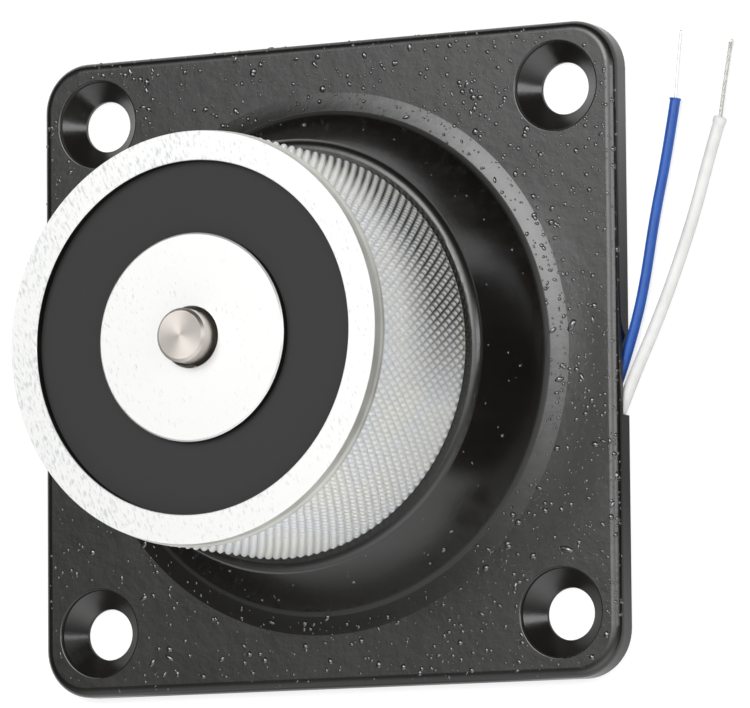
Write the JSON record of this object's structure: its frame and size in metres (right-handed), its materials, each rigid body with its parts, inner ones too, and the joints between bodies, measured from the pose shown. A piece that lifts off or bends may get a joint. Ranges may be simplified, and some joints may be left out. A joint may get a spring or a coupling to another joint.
{
  "type": "electromagnetic door holder",
  "caption": "Knurled round holding magnet with a sprung ejector pin, on a square countersunk mounting plate with a raised cone boss, with bare-ended leads.",
  "frame": {"origin": "middle of the mounting plate's back face, on the magnet's axis", "axes": "+Z along the magnet's axis, out of the pole face; +X towards the side of the plate where the leads come out; +Y up the plate as the picture shows it"},
  "size_m": [0.0947, 0.08, 0.0396],
  "materials": {
    "black_plastic": "satin black moulding with fine droplets",
    "zinc_steel": "bright zinc plate, knurled outside",
    "potting_resin": "matt cast resin",
    "stainless": "turned",
    "spring_steel": "drawn wire",
    "screw_steel": "zinc plated",
    "former_plastic": "natural nylon",
    "copper_wire": "enamelled copper",
    "coil_tape": "polyester film",
    "black_rubber": "soft",
    "shrink_sleeve": "satin",
    "blue_insulation": "satin PVC",
    "white_insulation": "satin PVC",
    "tinned_wire": "tinned copper strands"
  },
  "bodies": {
    "holder": {"base_plate": "black_plastic", "magnet_body": "zinc_steel", "coil_bobbin": "former_plastic", "coil_winding": "copper_wire", "winding_tape": "coil_tape", "potting_ring": "potting_resin", "ejector_spring": "spring_steel", "spring_plug": "screw_steel", "fixing_screws": "screw_steel", "spring_washers": "screw_steel", "lead_grommet": "black_rubber", "blue_splice": "shrink_sleeve", "white_splice": "shrink_sleeve", "blue_lead": "blue_insulation", "blue_conductor": "tinned_wire", "white_lead": "white_insulation", "white_conductor": "tinned_wire"},
    "ejector": {"ejector_pin": "stainless"}
  },
  "joints": [
    {"name": "ejector_slide", "type": "slide", "parent": "holder", "child": "ejector", "axis": [0, 0, -1], "range_m": [0, 0.0026], "stiffness_N_per_m": 3500, "springref_m": -0.0025, "deforming": ["ejector_spring"]}
  ]
}
